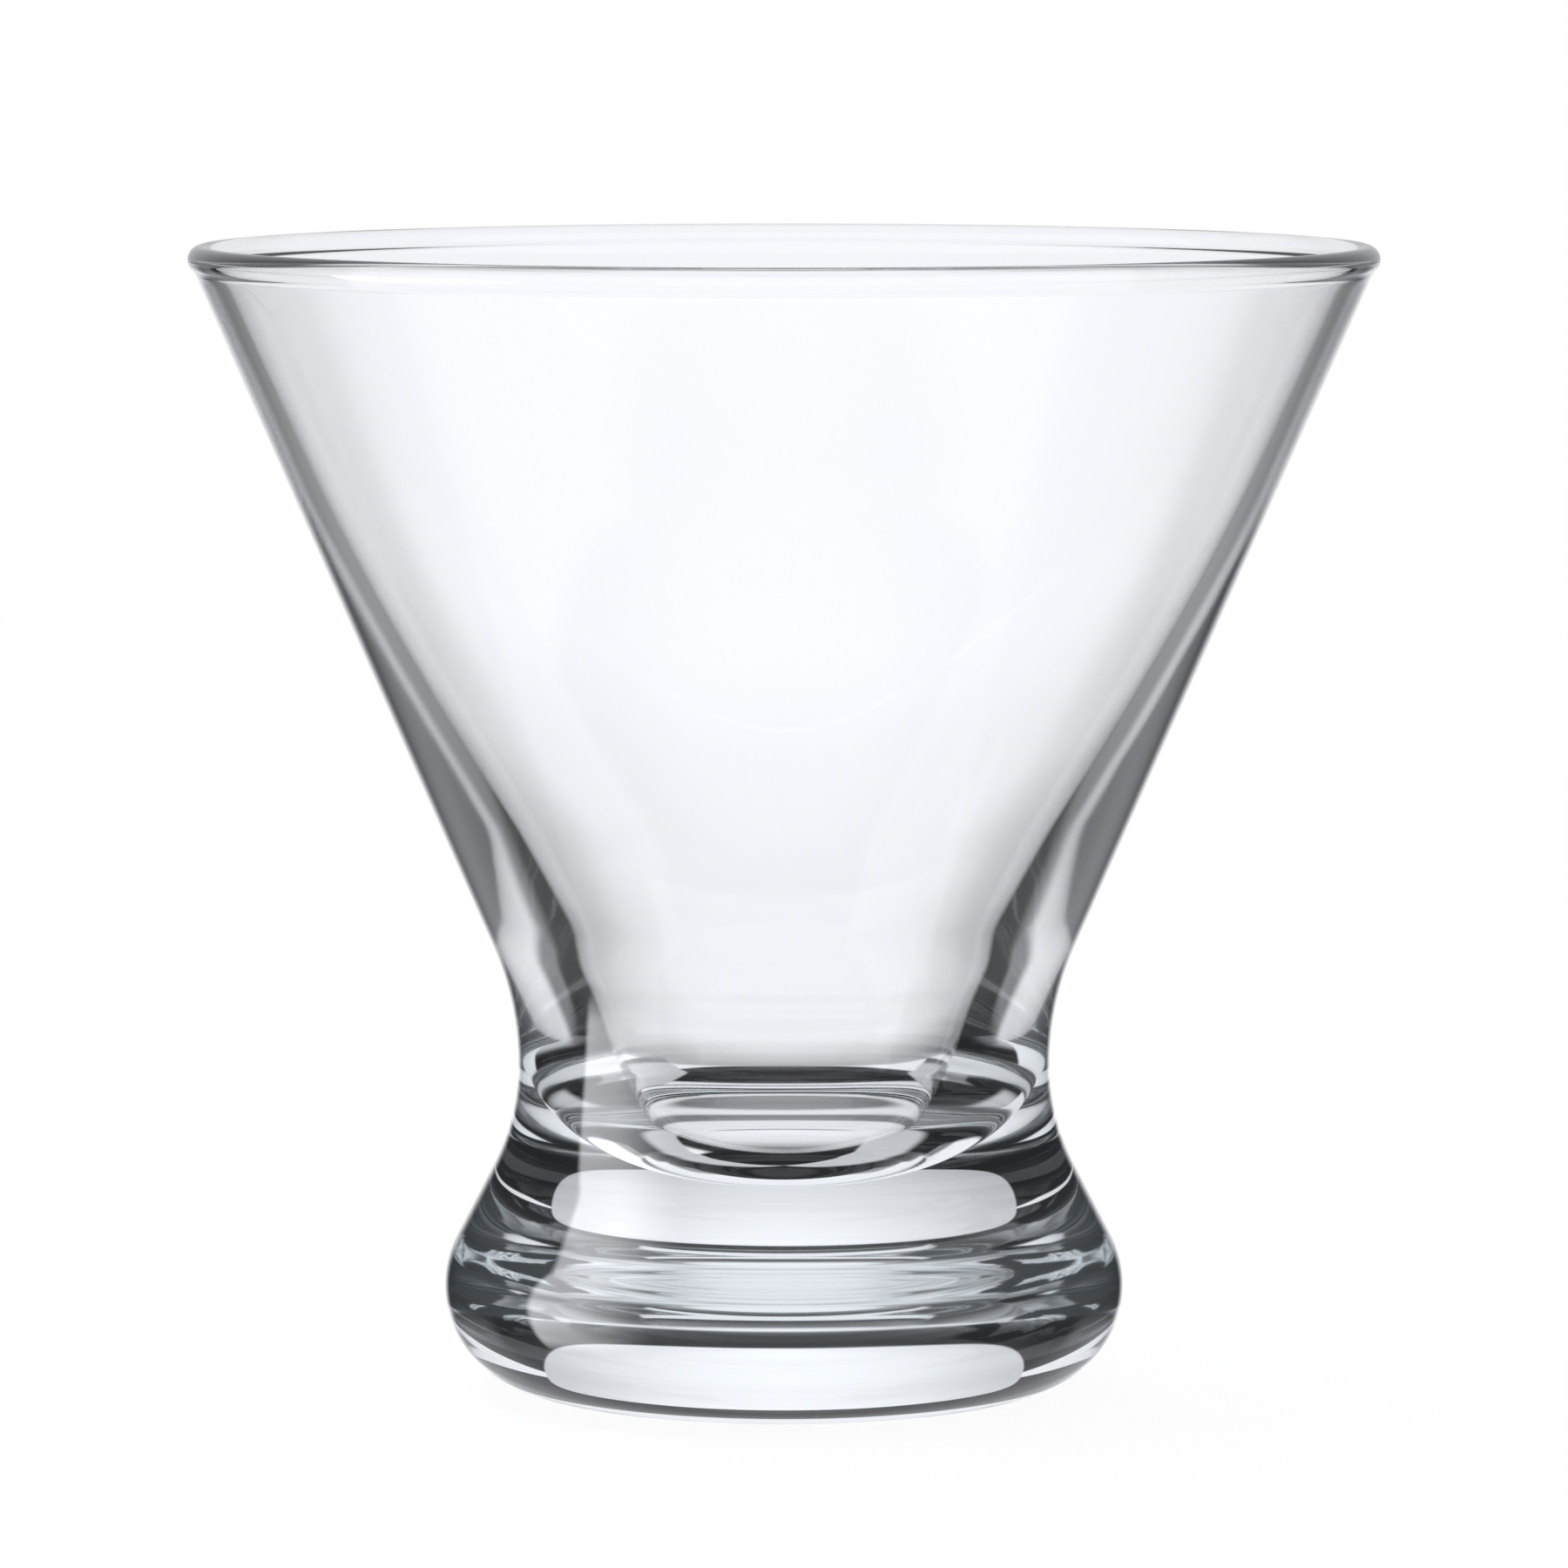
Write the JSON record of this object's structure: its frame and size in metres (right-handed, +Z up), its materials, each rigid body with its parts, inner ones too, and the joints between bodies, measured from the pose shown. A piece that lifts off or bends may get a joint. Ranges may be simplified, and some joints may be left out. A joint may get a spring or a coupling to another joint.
{
  "type": "stemless martini glass",
  "caption": "Clear stemless cocktail glass: a wide cone with a beaded rim that narrows to a waist over a heavy, bulged solid foot.",
  "frame": {"origin": "centre of the standing ring, on the table", "axes": "+Z up along the glass's axis, -Y towards the picture's viewer, +X to the right"},
  "size_m": [0.1078, 0.1078, 0.1042],
  "materials": {
    "clear_glass": "fire-polished clear soda-lime glass with a faint grey-green tint in its thick parts"
  },
  "bodies": {
    "root": {"bowl": "clear_glass", "foot": "clear_glass"}
  },
  "joints": []
}
